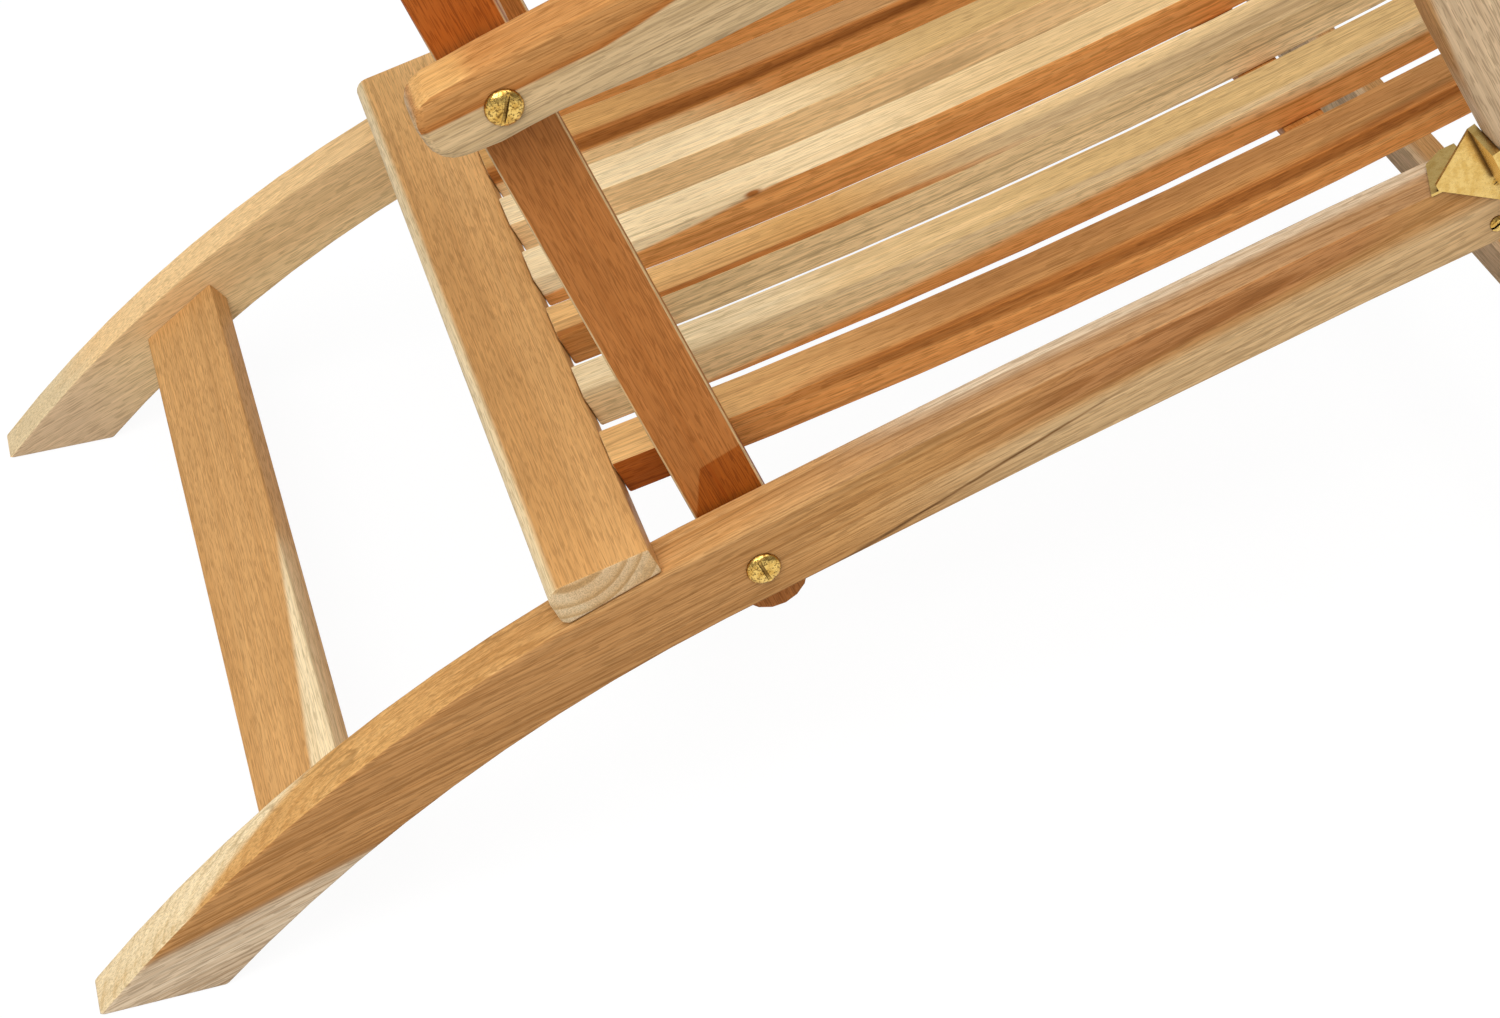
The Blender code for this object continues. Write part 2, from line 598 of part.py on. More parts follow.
for side, sign in SIDES:
    bracket = plank("stop_bracket_" + side, fin_points, BRACKET_PLATE,
                    leg_frame @ side_frame(sign * (plate_face + BRACKET_PLATE / 2)), SEAT, BRASS)
    flange_length = BRACKET_FLANGE_HIGH - BRACKET_FLANGE_LOW
    flange_y = sign * (plate_face + LEG_OUT) / 2
    flange = bars("bracket_flange_" + side,
                  [((0, 0, 0), (BRACKET_FLANGE, flange_length, LEG_OUT - plate_face))],
                  leg_frame @ side_frame(flange_y)
                  @ Matrix.Translation(((flange_front + flange_back) / 2,
                                        (BRACKET_FLANGE_HIGH + BRACKET_FLANGE_LOW) / 2, 0)),
                  SEAT, None)
    saddle_points = [(sign * plate_out, 0.0), (sign * RAIL_IN, 0.0)]
    saddle_points.append((sign * RAIL_IN, BRACKET_SADDLE_POINT - BRACKET_SADDLE))
    saddle_points.append((sign * (RAIL_IN + BRACKET_SADDLE_SKEW), -BRACKET_SADDLE_POINT))
    saddle_points.append((sign * plate_out, -BRACKET_SADDLE))
    saddle = plank("bracket_saddle_" + side, saddle_points, BRACKET_PLATE, saddle_frame, SEAT, None)
    cut(bracket, flange, "UNION")
    cut(bracket, saddle, "UNION")

# Joints cut in the wood

back_hole = hole_cutter("back_pivot_hole", BACK_PIVOT, SEAT)
leg_hole = hole_cutter("leg_pivot_hole", LEG_PIVOT, SEAT)
arm_hole = hole_cutter("arm_pivot_hole", ARM_BOLT, BACK)
front_hole = hole_cutter("arm_front_hole", FRONT_BOLT, LEGS)
for side, sign in SIDES:
    for cutter in (stretcher_mortises, front_board_mortises, back_hole, leg_hole):
        cut(rails[side], cutter)
    for cutter in (bottom_mortises, top_mortises, back_hole, arm_hole):
        cut(stiles[side], cutter)
    for cutter in (arm_hole, front_hole):
        cut(arms[side], cutter)
    for cutter in (front_mortises, leg_hole, front_hole):
        cut(legs[side], cutter)

# Brass bolts, cap nuts and washers


def dome(radius, height, edge):
    points = []
    for angle in steps(math.pi / 2, 0.0, 4):
        points.append((radius * math.cos(angle), edge + (height - edge) * math.sin(angle)))
    points[0] = (0.0, height)
    return points


def pivot_set(name, side, sign, point, parent, spin, outer, middle, inner):
    # Outer is the face under the bolt head, middle the gap, inner the face under the nut.
    length = outer - inner + 2 * CLEARANCE + BOLT_THREAD
    profile = dome(BOLT_HEAD_RADIUS, BOLT_HEAD_HEIGHT, BOLT_HEAD_EDGE)
    profile += [(BOLT_HEAD_RADIUS, 0.0), (BOLT_RADIUS, 0.0), (BOLT_RADIUS, -length), (0.0, -length)]
    head = outer + CLEARANCE
    frame = bolt_frame(point, sign * head, sign, spin)
    bolt = turned(name + "_bolt_" + side, profile, False, frame, parent)
    slot = bars(name + "_slot_" + side,
                [((0, 0, BOLT_HEAD_HEIGHT), (3 * BOLT_HEAD_RADIUS, SLOT_WIDTH, 2 * SLOT_DEPTH))],
                frame, parent, None)
    cut(bolt, slot)
    bore = BOLT_RADIUS + CLEARANCE
    depth = BOLT_THREAD + 2 * CLEARANCE
    profile = dome(NUT_RADIUS, NUT_HEIGHT, NUT_EDGE)
    profile += [(NUT_RADIUS, 0.0), (bore, 0.0), (bore, depth), (0.0, depth)]
    frame = bolt_frame(point, sign * (inner - CLEARANCE), -sign)
    turned(name + "_nut_" + side, profile, False, frame, parent)
    half = LANE_GAP / 2 - CLEARANCE
    bore = BOLT_RADIUS + HOLE_CLEARANCE
    profile = [(WASHER_RADIUS, half), (WASHER_RADIUS, -half), (bore, -half), (bore, half)]
    frame = bolt_frame(point, sign * middle, sign)
    turned(name + "_washer_" + side, profile, True, frame, parent)


for side, sign in SIDES:
    pivot_set("back_pivot", side, sign, BACK_PIVOT, SEAT, math.radians(-67),
              RAIL_OUT, RAIL_IN - LANE_GAP / 2, STILE_IN)
    pivot_set("leg_pivot", side, sign, LEG_PIVOT, SEAT, math.radians(20),
              LEG_OUT, LEG_IN - LANE_GAP / 2, RAIL_IN)
    pivot_set("arm_pivot", side, sign, ARM_BOLT, BACK, math.radians(55),
              ARM_OUT, STILE_OUT + LANE_GAP / 2, STILE_IN)
    pivot_set("arm_front", side, sign, FRONT_BOLT, LEGS, math.radians(75),
              LEG_OUT, LEG_IN - LANE_GAP / 2, ARM_IN)

bpy.context.view_layer.update()
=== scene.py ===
# Looks of a folding teak deck chair: oiled teak with long grain, worn brass fittings
# and screws, under soft studio light. Metres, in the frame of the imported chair.

import json
import math

import bpy
from mathutils import Matrix, Vector

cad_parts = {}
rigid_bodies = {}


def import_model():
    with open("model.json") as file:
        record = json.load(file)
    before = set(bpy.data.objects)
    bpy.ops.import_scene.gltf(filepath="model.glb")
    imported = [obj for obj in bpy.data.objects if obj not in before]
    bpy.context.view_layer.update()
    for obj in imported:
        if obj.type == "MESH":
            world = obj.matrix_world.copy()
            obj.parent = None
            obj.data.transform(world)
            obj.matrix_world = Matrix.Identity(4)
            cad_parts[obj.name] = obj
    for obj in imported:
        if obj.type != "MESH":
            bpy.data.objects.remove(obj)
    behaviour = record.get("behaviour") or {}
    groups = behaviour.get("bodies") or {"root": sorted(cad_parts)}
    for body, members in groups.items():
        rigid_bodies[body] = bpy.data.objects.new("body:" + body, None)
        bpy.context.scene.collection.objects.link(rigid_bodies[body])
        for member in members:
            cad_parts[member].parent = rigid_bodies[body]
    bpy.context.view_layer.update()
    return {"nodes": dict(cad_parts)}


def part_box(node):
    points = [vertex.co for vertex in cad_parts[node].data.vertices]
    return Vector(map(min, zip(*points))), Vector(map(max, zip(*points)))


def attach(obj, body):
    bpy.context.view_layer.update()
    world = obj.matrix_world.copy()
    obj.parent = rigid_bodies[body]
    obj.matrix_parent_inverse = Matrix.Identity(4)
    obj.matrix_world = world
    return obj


for item in list(bpy.data.objects):
    bpy.data.objects.remove(item, do_unlink=True)

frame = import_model()
nodes = frame["nodes"]

# Slopes of the chair's pieces, up from the floor towards the front
RAIL_SLOPE = math.radians(18.64)
FAR_RAIL_SLOPE = math.radians(23.0)
SLAT_SLOPE = math.radians(15.9)
BOARD_SLOPE = math.radians(21.7)
STRETCHER_SLOPE = math.radians(35.6)
ARM_SLOPE = math.radians(17.7)
BACK_LEAN = math.radians(19.44)
LEG_LEAN = math.radians(28.4)

# Middles of the boards' own frames, for the left side where there are two
RAIL_MIDDLE = (-0.1287, 0.256, 0.192)
STRETCHER_MIDDLE = (-0.367, 0.0, 0.078)
REAR_BOARD_MIDDLE = (-0.199, 0.0, 0.203)
STILE_MIDDLE = (-0.1287, 0.2268, 0.1921)
ARM_MIDDLE = (-0.2289, 0.256, 0.4762)
LEG_MIDDLE = (0.2914, 0.285, 0.326)
SIDES = (("right", -1), ("left", 1))

# The seat slats are arcs of this radius, and sag this far below their chord
SLAT_RADIUS = 3.38
SLAT_SAG = 0.0118
SLAT_HALF_WIDTH = 0.0154

# A knot fades out between these two distances from its middle
KNOT_HEART = 0.0012
KNOT_EDGE = 0.0036

TEAK_SPECULAR = 0.14
# Brown of the brass's spots, and of the painted shade in its crevices
SPOTS_AND_SHADE_BROWN = (0.10, 0.040, 0.006, 1.0)


# Node helpers

def add_node(tree, kind, values=None, **settings):
    made = tree.nodes.new(kind)
    for key, value in settings.items():
        setattr(made, key, value)
    for key, value in (values or {}).items():
        socket = made.inputs[key]
        if isinstance(value, bpy.types.NodeSocket):
            tree.links.new(value, socket)
        else:
            socket.default_value = value
    return made


def calc(tree, operation, first, second=0.0, third=0.0):
    made = add_node(tree, "ShaderNodeMath", {0: first, 1: second, 2: third}, operation=operation)
    return made.outputs[0]


def vector_calc(tree, operation, first, second=(0.0, 0.0, 0.0)):
    made = add_node(tree, "ShaderNodeVectorMath", {0: first, 1: second}, operation=operation)
    return made.outputs["Value" if operation in ("DOT_PRODUCT", "LENGTH") else "Vector"]


def blend_colours(tree, share, first, second, kind="MIX"):
    made = add_node(tree, "ShaderNodeMix", {0: share, 6: first, 7: second},
                    data_type="RGBA", blend_type=kind)
    return made.outputs[2]


def rise(tree, value, low, high):
    made = add_node(tree, "ShaderNodeMapRange", {0: value, 1: low, 2: high},
                    interpolation_type="SMOOTHSTEP")
    return made.outputs[0]


def cloudy(tree, place, stretch, detail, roughness=0.5):
    stretched = vector_calc(tree, "MULTIPLY", place, stretch)
    made = add_node(tree, "ShaderNodeTexNoise", {"Vector": stretched, "Scale": 1.0,
                    "Detail": detail, "Roughness": roughness})
    return made.outputs


def new_group(name, kind, inputs, outputs):
    group = bpy.data.node_groups.new(name, kind)
    for label, socket, value in inputs:
        made = group.interface.new_socket(label, in_out="INPUT", socket_type="NodeSocket" + socket)
        if value is not None:
            made.default_value = value
    for label, socket in outputs:
        group.interface.new_socket(label, in_out="OUTPUT", socket_type="NodeSocket" + socket)
    start = group.nodes.new("NodeGroupInput")
    end = group.nodes.new("NodeGroupOutput")
    return group, start.outputs, end.inputs


# Teak grain: position in the board's own frame, X along the grain

def make_teak_grain():
    group, given, result = new_group("teak_grain", "ShaderNodeTree", [
        ("Position", "Vector", None), ("Seed", "Float", 0.0),
        ("Pale", "Color", None), ("Body", "Color", None), ("Dark", "Color", None),
        ("Tone", "Float", 0.0), ("Contrast", "Float", 1.0), ("Figure", "Float", 1.0),
        ("Lines", "Float", 0.5), ("Pores", "Float", 0.42), ("Pith", "Vector", (0.0, 0.02, -0.09)),
        ("Ring Width", "Float", 0.004), ("Rings", "Float", 0.15), ("Taper", "Float", 0.012)],
        [("Colour", "Color"), ("Roughness", "Float"), ("Height", "Float")])
    seed = add_node(group, "ShaderNodeCombineXYZ", {
        0: calc(group, "MULTIPLY", given["Seed"], 1.37),
        1: calc(group, "MULTIPLY", given["Seed"], 0.713),
        2: calc(group, "MULTIPLY", given["Seed"], 0.471)}).outputs[0]
    shifted = vector_calc(group, "ADD", given["Position"], seed)
    sway = vector_calc(group, "SUBTRACT", cloudy(group, shifted, (2.0, 8.0, 8.0), 1.0)["Color"],
                       (0.5, 0.5, 0.5))
    sway = vector_calc(group, "MULTIPLY", sway, (0.0, 0.016, 0.016))
    sway = add_node(group, "ShaderNodeVectorMath", {0: sway, "Scale": given["Figure"]},
                    operation="SCALE").outputs[0]
    grain = vector_calc(group, "ADD", shifted, sway)

    # Growth rings round the pith
    from_pith = vector_calc(group, "SUBTRACT", given["Position"], given["Pith"])
    from_pith = vector_calc(group, "ADD", from_pith, sway)
    taper = add_node(group, "ShaderNodeCombineXYZ", {0: given["Taper"], 1: 1.0, 2: 1.0}).outputs[0]
    radius = vector_calc(group, "LENGTH", vector_calc(group, "MULTIPLY", from_pith, taper))
    spacing = add_node(group, "ShaderNodeTexNoise", {"W": calc(group, "MULTIPLY", radius, 70.0),
                       "Scale": 1.0, "Detail": 1.0}, noise_dimensions="1D").outputs[0]
    turns = calc(group, "DIVIDE", radius, given["Ring Width"])
    turns = calc(group, "MULTIPLY_ADD", spacing, 2.4, turns)
    ring = add_node(group, "ShaderNodeFloatCurve", {"Value": calc(group, "FRACT", turns)})
    curve = ring.mapping.curves[0]
    curve.points[0].location = (0.0, 0.10)
    curve.points[1].location = (1.0, 0.12)
    for place in ((0.55, 0.32), (0.86, 1.0), (0.95, 0.55)):
        curve.points.new(*place)
    ring.mapping.update()
    ring = ring.outputs[0]

    # Bands, streaks, fibres and pores, each finer than the last
    band = cloudy(group, grain, (0.8, 58.0, 58.0), 2.0)[0]
    streak = cloudy(group, grain, (1.7, 290.0, 290.0), 6.0, 0.74)[0]
    fibre = cloudy(group, grain, (16.0, 1100.0, 1100.0), 2.0, 0.65)[0]
    pore = rise(group, cloudy(group, shifted, (95.0, 1600.0, 1600.0), 0.0)[0], 0.54, 0.64)

    # Thin dark lines that come and go along the grain
    vein = cloudy(group, grain, (0.6, 52.0, 52.0), 1.5)[0]
    vein = calc(group, "ABSOLUTE", calc(group, "SUBTRACT", vein, 0.5))
    line = calc(group, "SUBTRACT", 1.0, rise(group, vein, 0.0, 0.020))
    breaks = rise(group, cloudy(group, shifted, (3.1, 26.0, 26.0), 1.0)[0], 0.38, 0.58)
    line = calc(group, "MULTIPLY", calc(group, "MULTIPLY", line, breaks), given["Lines"])

    tone = calc(group, "MULTIPLY", calc(group, "SUBTRACT", band, 0.5), 1.5)
    tone = calc(group, "MULTIPLY_ADD", calc(group, "SUBTRACT", streak, 0.5), 1.5, tone)
    tone = calc(group, "MULTIPLY_ADD", tone, given["Contrast"], given["Tone"])
    tone = calc(group, "MULTIPLY_ADD", calc(group, "SUBTRACT", ring, 0.35), given["Rings"], tone)
    tone = calc(group, "ADD", tone, 0.5)
    colour = blend_colours(group, rise(group, tone, 0.0, 0.5), given["Pale"], given["Body"])
    colour = blend_colours(group, rise(group, tone, 0.5, 1.0), colour, given["Dark"])
    light = calc(group, "MULTIPLY_ADD", calc(group, "SUBTRACT", fibre, 0.5), 0.75, 1.0)
    colour = add_node(group, "ShaderNodeHueSaturation", {"Value": light, "Color": colour}).outputs[0]
    deep = add_node(group, "ShaderNodeHueSaturation", {"Value": 0.62, "Color": given["Dark"]})
    deep = deep.outputs[0]
    colour = blend_colours(group, line, colour, deep)
    colour = blend_colours(group, calc(group, "MULTIPLY", pore, given["Pores"]), colour, deep)
    group.links.new(colour, result["Colour"])

    rough = calc(group, "MULTIPLY_ADD", streak, 0.16, 0.44)
    rough = calc(group, "MULTIPLY_ADD", pore, 0.15, rough)
    group.links.new(rough, result["Roughness"])
    height = calc(group, "MULTIPLY_ADD", fibre, 0.6, calc(group, "MULTIPLY", ring, 0.12))
    height = calc(group, "MULTIPLY_ADD", pore, -0.9, height)
    group.links.new(height, result["Height"])
    return group


# A zone of other wood or painted light on one side of a plane in the board's frame, with a wandering
# edge

def make_zone():
    group, given, result = new_group("tone_zone", "ShaderNodeTree", [
        ("Position", "Vector", None), ("Direction", "Vector", None), ("Offset", "Float", 0.0),
        ("Softness", "Float", 0.006), ("Wander", "Float", 0.006), ("Seed", "Float", 0.0)],
        [("Share", "Float")])
    seed = add_node(group, "ShaderNodeCombineXYZ", {0: given["Seed"], 1: given["Seed"]}).outputs[0]
    place = vector_calc(group, "ADD", given["Position"], seed)
    wander = calc(group, "SUBTRACT", cloudy(group, place, (4.0, 90.0, 90.0), 4.0, 0.6)[0], 0.5)
    reach = vector_calc(group, "DOT_PRODUCT", given["Position"], given["Direction"])
    reach = calc(group, "SUBTRACT", reach, given["Offset"])
    reach = calc(group, "MULTIPLY_ADD", wander, calc(group, "MULTIPLY", given["Wander"], 3.0), reach)
    soft = calc(group, "MULTIPLY", given["Softness"], 0.5)
    share = rise(group, reach, calc(group, "MULTIPLY", soft, -1.0), soft)
    group.links.new(share, result["Share"])
    return group


TEAK_GRAIN = make_teak_grain()
TONE_ZONE = make_zone()

# Woods, each as pale, body and dark tones
TAN = ((0.64, 0.355, 0.136), (0.560, 0.288, 0.098), (0.43, 0.202, 0.060))
SAND = ((0.60, 0.335, 0.135), (0.50, 0.262, 0.098), (0.40, 0.200, 0.068))
HONEY = ((0.66, 0.360, 0.130), (0.590, 0.308, 0.104), (0.50, 0.245, 0.078))
AMBER = ((0.72, 0.420, 0.155), (0.640, 0.348, 0.115), (0.53, 0.268, 0.080))
YELLOW = ((0.71, 0.475, 0.205), (0.60, 0.390, 0.160), (0.48, 0.295, 0.110))
# Painted light: a pale cream that lifts the rear ends of slats 4 and 5 where the arm's shadow falls
MILK_PAINTED_LIGHT = ((0.98, 0.800, 0.490), (0.92, 0.715, 0.420), (0.80, 0.580, 0.300))
PEACH = ((0.85, 0.510, 0.205), (0.77, 0.445, 0.166), (0.63, 0.330, 0.115))
CREAM = ((0.88, 0.705, 0.435), (0.80, 0.620, 0.360), (0.68, 0.480, 0.240))
IVORY = ((0.84, 0.610, 0.320), (0.73, 0.510, 0.250), (0.62, 0.410, 0.190))
ROSE = ((1.00, 0.720, 0.370), (0.93, 0.630, 0.305), (0.78, 0.480, 0.210))
GREY = ((0.74, 0.500, 0.255), (0.65, 0.425, 0.208), (0.50, 0.310, 0.140))
SMOKE = ((0.66, 0.470, 0.255), (0.56, 0.390, 0.202), (0.42, 0.275, 0.130))
SLATE = ((0.94, 0.680, 0.360), (0.80, 0.565, 0.285), (0.52, 0.345, 0.160))
OLIVE = ((0.69, 0.500, 0.275), (0.59, 0.410, 0.215), (0.46, 0.305, 0.145))
ASH = ((0.70, 0.515, 0.310), (0.62, 0.440, 0.265), (0.50, 0.330, 0.180))
SOLE = ((0.74, 0.590, 0.410), (0.62, 0.465, 0.305), (0.43, 0.285, 0.160))
NUT = ((0.54, 0.310, 0.135), (0.45, 0.245, 0.105), (0.34, 0.168, 0.062))
DRIFT = ((0.84, 0.590, 0.310), (0.745, 0.500, 0.245), (0.58, 0.370, 0.165))
ORANGE = ((0.60, 0.300, 0.100), (0.49, 0.222, 0.065), (0.34, 0.130, 0.028))
CARAMEL = ((0.50, 0.240, 0.076), (0.405, 0.182, 0.055), (0.30, 0.118, 0.026))
COCOA = ((0.60, 0.300, 0.120), (0.485, 0.215, 0.072), (0.32, 0.120, 0.030))
HAZEL = ((0.58, 0.305, 0.112), (0.505, 0.250, 0.085), (0.38, 0.172, 0.050))
BROWN = ((0.58, 0.268, 0.080), (0.50, 0.200, 0.048), (0.37, 0.128, 0.024))
BISTRE = ((0.30, 0.155, 0.055), (0.22, 0.105, 0.034), (0.15, 0.066, 0.018))
UMBER = ((0.52, 0.215, 0.055), (0.42, 0.148, 0.030), (0.31, 0.092, 0.013))
CHESTNUT = ((0.84, 0.400, 0.122), (0.71, 0.295, 0.077), (0.52, 0.190, 0.038))
RUSSET = ((0.52, 0.200, 0.054), (0.450, 0.162, 0.037), (0.36, 0.115, 0.021))
OXBLOOD = ((0.44, 0.125, 0.016), (0.34, 0.085, 0.008), (0.24, 0.048, 0.003))
EMBER = ((0.46, 0.128, 0.020), (0.39, 0.096, 0.011), (0.30, 0.060, 0.004))
END_GRAIN = ((0.70, 0.520, 0.310), (0.62, 0.410, 0.205), (0.50, 0.305, 0.130))


def board_turn(along, up):
    # The turn that takes a board's own axes to the chair's: X along the grain, Z up.
    x = Vector(along).normalized()
    y = Vector(up).cross(x).normalized()
    z = x.cross(y)
    return Matrix((x, y, z)).transposed().to_euler()


def lengthwise(slope):
    # A board that runs from the back of the chair to its front, rising by the slope
    return (math.cos(slope), 0.0, math.sin(slope)), (-math.sin(slope), 0.0, math.cos(slope))


def crosswise(slope):
    # A board that runs across the chair, its upper face leaning back by the slope
    return (0.0, 1.0, 0.0), (-math.sin(slope), 0.0, math.cos(slope))


def upright(lean):
    # A board that stands, its front face leaning back
    return (-math.sin(lean), 0.0, math.cos(lean)), (math.cos(lean), 0.0, math.sin(lean))


def node_middle(node):
    low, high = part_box(node)
    return (low + high) / 2


def on_side(place, sign):
    # A place on the left side, or its mirror image on the right where the sign is -1
    x, y, z = place
    return x, sign * y, z


def straightened(tree, position, radius):
    # Undoes the bow of a board that was bent along its length.
    parts = add_node(tree, "ShaderNodeSeparateXYZ", {0: position}).outputs
    drop = calc(tree, "MULTIPLY", calc(tree, "MULTIPLY", parts[0], parts[0]), -0.5 / radius)
    height = calc(tree, "ADD", parts[2], drop)
    return add_node(tree, "ShaderNodeCombineXYZ", {0: parts[0], 1: parts[1], 2: height}).outputs[0]


def zone_share(tree, position, normal, limits, seed):
    # The part of a board that lies within every limit: a plane, or a face that looks some way
    share = 1.0
    for limit in limits:
        if len(limit) == 2:
            direction, least = limit
            facing = vector_calc(tree, "DOT_PRODUCT", normal, direction)
            within = rise(tree, facing, least - 0.1, least + 0.1)
        else:
            direction, offset, softness, wander = limit
            plane = add_node(tree, "ShaderNodeGroup", {
                "Position": position, "Direction": direction, "Offset": offset,
                "Softness": softness, "Wander": wander, "Seed": seed}, node_tree=TONE_ZONE)
            within = plane.outputs[0]
        share = calc(tree, "MULTIPLY", within, share)
    return share


def blend_tones(tree, share, tones, wood):
    return [blend_colours(tree, share, old, (*new, 1.0)) for old, new in zip(tones, wood)]


def teak(name, middle, axes, wood, seed, zones=(), radius=None, knot=None, **grain_values):
    # Zones are (wood, limits), and some of the woods are painted light. A limit is a plane in the
    # board's own frame, as direction, offset, softness and wander, or a face in the chair's frame, as
    # direction and least cosine.
    material = bpy.data.materials.new(name)
    material.use_nodes = True
    tree = material.node_tree
    shader = tree.nodes["Principled BSDF"]
    place = add_node(tree, "ShaderNodeTexCoord")
    board = add_node(tree, "ShaderNodeMapping", {"Vector": place.outputs["Object"]},
                     vector_type="TEXTURE")
    board.inputs["Location"].default_value = middle
    board.inputs["Rotation"].default_value = board_turn(*axes)
    position = board.outputs[0]
    if radius:
        position = straightened(tree, position, radius)
    tones = [(*tone, 1.0) for tone in wood]
    normal = place.outputs["Normal"]
    for number, (other, limits) in enumerate(zones):
        share = zone_share(tree, position, normal, limits, seed + number)
        tones = blend_tones(tree, share, tones, other)
    if knot:
        away = vector_calc(tree, "SUBTRACT", position, knot)
        away = vector_calc(tree, "LENGTH", vector_calc(tree, "MULTIPLY", away, (0.5, 1.0, 1.0)))
        tones = blend_tones(tree, rise(tree, away, KNOT_EDGE, KNOT_HEART), tones, UMBER)
    facing = vector_calc(tree, "DOT_PRODUCT", normal, tuple(Vector(axes[0]).normalized()))
    end = rise(tree, calc(tree, "ABSOLUTE", facing), 0.75, 0.95)
    tones = blend_tones(tree, calc(tree, "MULTIPLY", end, 0.85), tones, END_GRAIN)
    grain = add_node(tree, "ShaderNodeGroup", node_tree=TEAK_GRAIN)
    tree.links.new(position, grain.inputs["Position"])
    for label, tone in zip(("Pale", "Body", "Dark"), tones):
        tree.links.new(tone, grain.inputs[label])
    grain.inputs["Seed"].default_value = seed
    for key, value in grain_values.items():
        grain.inputs[key.replace("_", " ").title()].default_value = value
    rings = calc(tree, "MULTIPLY_ADD", end, 0.7, grain.inputs["Rings"].default_value)
    tree.links.new(rings, grain.inputs["Rings"])
    contrast = grain.inputs["Contrast"].default_value
    contrast = calc(tree, "MULTIPLY_ADD", end, -0.75 * contrast, contrast)
    tree.links.new(contrast, grain.inputs["Contrast"])
    bump = add_node(tree, "ShaderNodeBump", {"Strength": 0.2, "Distance": 0.0005,
                    "Height": grain.outputs["Height"]})
    tree.links.new(grain.outputs["Colour"], shader.inputs["Base Color"])
    tree.links.new(grain.outputs["Roughness"], shader.inputs["Roughness"])
    tree.links.new(bump.outputs[0], shader.inputs["Normal"])
    shader.inputs["Specular IOR Level"].default_value = TEAK_SPECULAR
    return material


def dress(node, material):
    slots = nodes[node].data.materials
    slots.clear()
    slots.append(material)


# Directions in a board's own frame, where X runs along the grain, Y to its left and Z to its top.
# The two faces are in the chair's frame: they look up, and to the chair's right.
TO_END = (1.0, 0.0, 0.0)
TO_START = (-1.0, 0.0, 0.0)
TO_TOP = (0.0, 0.0, 1.0)
TO_UNDER = (0.0, 0.0, -1.0)
TO_LEFT = (0.0, 1.0, 0.0)
TO_RIGHT = (0.0, -1.0, 0.0)
FACES_UP = (TO_TOP, 0.6)
FACES_RIGHT = (TO_RIGHT, 0.6)

# Side rails: straight-sawn, so the grain runs on straight where the rail bows down

RAIL_FOOT = ((0.0, 1.14, -1.0), 0.021, 0.010, 0.002)
near_rail_zones = [
    (AMBER, [FACES_UP, (TO_START, 0.14, 0.20, 0.02)]),
    (GREY, [(TO_UNDER, -0.004, 0.014, 0.003), (TO_END, 0.10, 0.14, 0.01)]),
    (TAN, [(TO_TOP, 0.0005, 0.012, 0.004), (TO_END, 0.07, 0.14, 0.02)]),
    (COCOA, [FACES_RIGHT, (TO_TOP, 0.004, 0.007, 0.004),
             (TO_END, 0.15, 0.14, 0.02), (TO_START, -0.36, 0.06, 0.02)]),
    (BISTRE, [((-0.10, 0.0, 1.0), -0.0240, 0.0014, 0.001),
              ((0.10, 0.0, -1.0), 0.0228, 0.0014, 0.001),
              (TO_END, 0.03, 0.03, 0.0), (TO_START, -0.20, 0.08, 0.0)]),
    (NUT, [FACES_UP, (TO_END, 0.05, 0.14, 0.02)]),
    (SOLE, [(TO_LEFT, 0.003, 0.010, 0.003), (TO_TOP, 0.0165, 0.003, 0.001),
            (TO_END, 0.09, 0.10, 0.02)]),
    (CREAM, [RAIL_FOOT]),
    (HAZEL, [FACES_RIGHT, (TO_START, -0.02, 0.14, 0.02)]),
    (HAZEL, [FACES_RIGHT, (TO_TOP, -0.047, 0.010, 0.004),
             (TO_UNDER, 0.018, 0.014, 0.005), (TO_START, 0.14, 0.12, 0.02)]),
    (SOLE, [((0.0, -0.6, -1.0), 0.0575, 0.006, 0.003)]),
    (CREAM, [FACES_UP, RAIL_FOOT]),
]
dress("side_rail_right", teak("teak_near_rail", on_side(RAIL_MIDDLE, -1),
      lengthwise(RAIL_SLOPE), TAN, 1.0, near_rail_zones, lines=0.6, contrast=1.15,
      pith=(-0.05, -0.014, 0.011), ring_width=0.0036, rings=0.42, taper=0.036))
far_rail_zones = [
    (DRIFT, [FACES_RIGHT]),
    (SLATE, [FACES_RIGHT, (TO_UNDER, 0.012, 0.012, 0.006)]),
    (ASH, [FACES_RIGHT, (TO_START, 0.32, 0.10, 0.01)]),
    (CREAM, [FACES_UP, (TO_START, 0.34, 0.05, 0.01)]),
]
dress("side_rail_left", teak("teak_far_rail", RAIL_MIDDLE, lengthwise(FAR_RAIL_SLOPE),
      ROSE, 2.0, far_rail_zones, lines=0.2, pith=(0.0, 0.05, -0.20), contrast=0.7, rings=0.04))

# Cross pieces of the seat frame

dress("rear_stretcher", teak("teak_rear_stretcher", STRETCHER_MIDDLE, crosswise(STRETCHER_SLOPE),
      HONEY, 3.0, [(CREAM, [FACES_UP, ((-0.0864, -1.0, 0.0), 0.0304, 0.004, 0.001)])],
      tone=-0.3, contrast=0.8, lines=0.12, figure=0.8))
# The cream strip along the board's rounded rear lower edge is a painted highlight
dress("rear_cross_board", teak("teak_rear_board", REAR_BOARD_MIDDLE, crosswise(BOARD_SLOPE),
      HONEY, 4.0, [(PEACH, [(TO_END, 0.17, 0.34, 0.02)]),
                  (CREAM, [((0.0, 1.0, -0.5), 0.0225, 0.004, 0.001)])],
      tone=-0.15, lines=0.3, figure=1.2, pith=(0.0, 0.018, 0.034), ring_width=0.007))
dress("front_cross_board", teak("teak_front_board", node_middle("front_cross_board"),
      crosswise(SLAT_SLOPE), HONEY, 5.0))
dress("seat_batten", teak("teak_batten", node_middle("seat_batten"), crosswise(SLAT_SLOPE),
      BROWN, 6.0))
